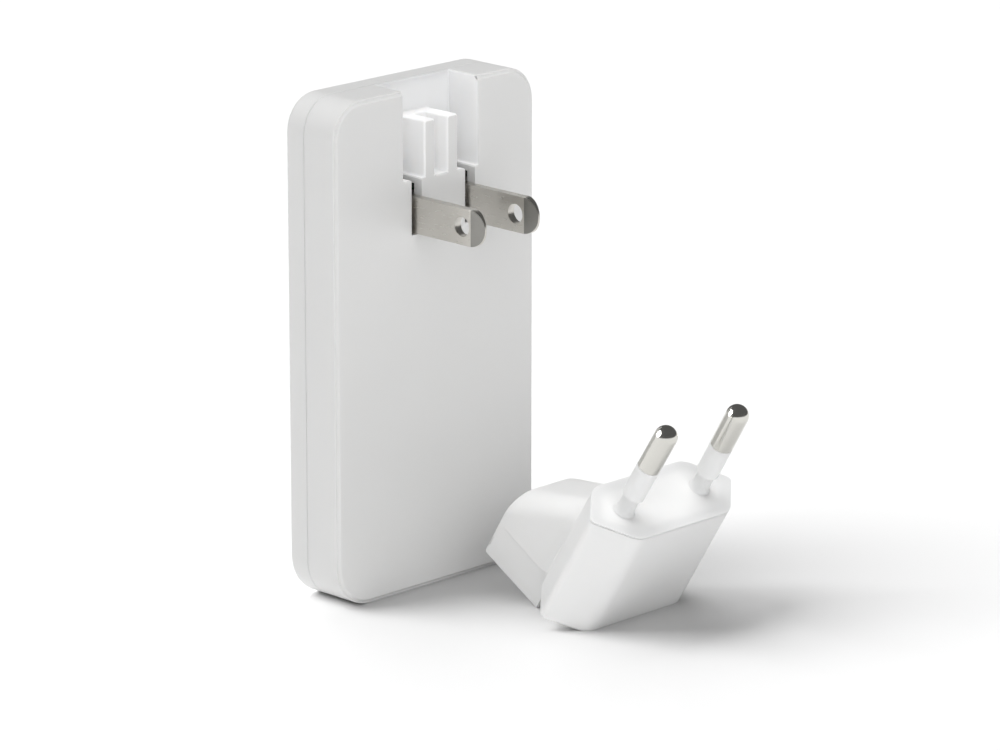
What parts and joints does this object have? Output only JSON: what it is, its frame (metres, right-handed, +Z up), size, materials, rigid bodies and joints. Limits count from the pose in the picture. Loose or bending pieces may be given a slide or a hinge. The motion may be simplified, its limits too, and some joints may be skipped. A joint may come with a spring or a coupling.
{
  "type": "travel adapter",
  "caption": "Slim slab charger with a fold-out two-blade plug in a notched end, and a loose push-on Europlug head leaning beside it.",
  "frame": {"origin": "middle of the charger's bottom face, at half its width and half its thickness", "axes": "+Z up along the charger's height, +X along its width, -Y out of the face that carries the folding blades"},
  "size_m": [0.0508, 0.0658, 0.0882],
  "materials": {
    "white_plastic": "satin white moulded polycarbonate",
    "inner_plastic": "matt natural nylon",
    "nickel_plate": "satin nickel plating on brass",
    "circuit_board": "green solder mask on glass-epoxy board",
    "ferrite": "fired ferrite",
    "winding_tape": "polyester tape over the windings",
    "copper_wire": "enamelled copper wire",
    "capacitor_sleeve": "shrunk sleeve",
    "film_capacitor": "pale moulded case",
    "chip_plastic": "black moulding compound",
    "spreader_aluminium": "plain sheet",
    "insulating_film": "thin film",
    "socket_steel": "plain stainless steel",
    "contact_bronze": "phosphor bronze",
    "contact_brass": "brass strip"
  },
  "bodies": {
    "charger": {"rear_shell": "white_plastic", "front_shell": "white_plastic", "main_board": "circuit_board", "transformer_core": "ferrite", "transformer_winding": "winding_tape", "choke_core": "ferrite", "choke_winding": "copper_wire", "bulk_capacitor_1": "capacitor_sleeve", "bulk_capacitor_2": "capacitor_sleeve", "bulk_capacitor_3": "capacitor_sleeve", "output_capacitor_1": "capacitor_sleeve", "output_capacitor_2": "capacitor_sleeve", "x_capacitor": "film_capacitor", "bridge_rectifier": "chip_plastic", "power_switch": "chip_plastic", "output_rectifier": "chip_plastic", "port_controller": "chip_plastic", "fuse": "film_capacitor", "heat_spreader": "spreader_aluminium", "insulating_sheet": "insulating_film", "usb_c_shell": "socket_steel", "usb_c_tongue": "chip_plastic", "hinge_bearing_left": "inner_plastic", "hinge_bearing_right": "inner_plastic", "contact_spring_left": "contact_bronze", "contact_spring_right": "contact_bronze", "detent_spring": "socket_steel"},
    "folding_plug": {"blade_left": "nickel_plate", "blade_right": "nickel_plate", "blade_rotor": "inner_plastic"},
    "eu_head": {"eu_head_shell": "white_plastic", "eu_pin_plate": "white_plastic", "eu_pin_left": "nickel_plate", "eu_pin_right": "nickel_plate", "eu_sleeve_left": "white_plastic", "eu_sleeve_right": "white_plastic", "eu_contact_left": "contact_brass", "eu_contact_right": "contact_brass"}
  },
  "joints": [
    {"name": "blade_hinge", "type": "hinge", "parent": "charger", "child": "folding_plug", "pos_m": [0.0019, -0.00245, 0.06643], "axis": [-1, 0, 0], "range_deg": [0, 90]},
    {"name": "eu_head_lift", "type": "slide", "parent": "charger", "child": "eu_head", "axis": [0, 0, 1], "range_m": [0, 0.04]}
  ]
}
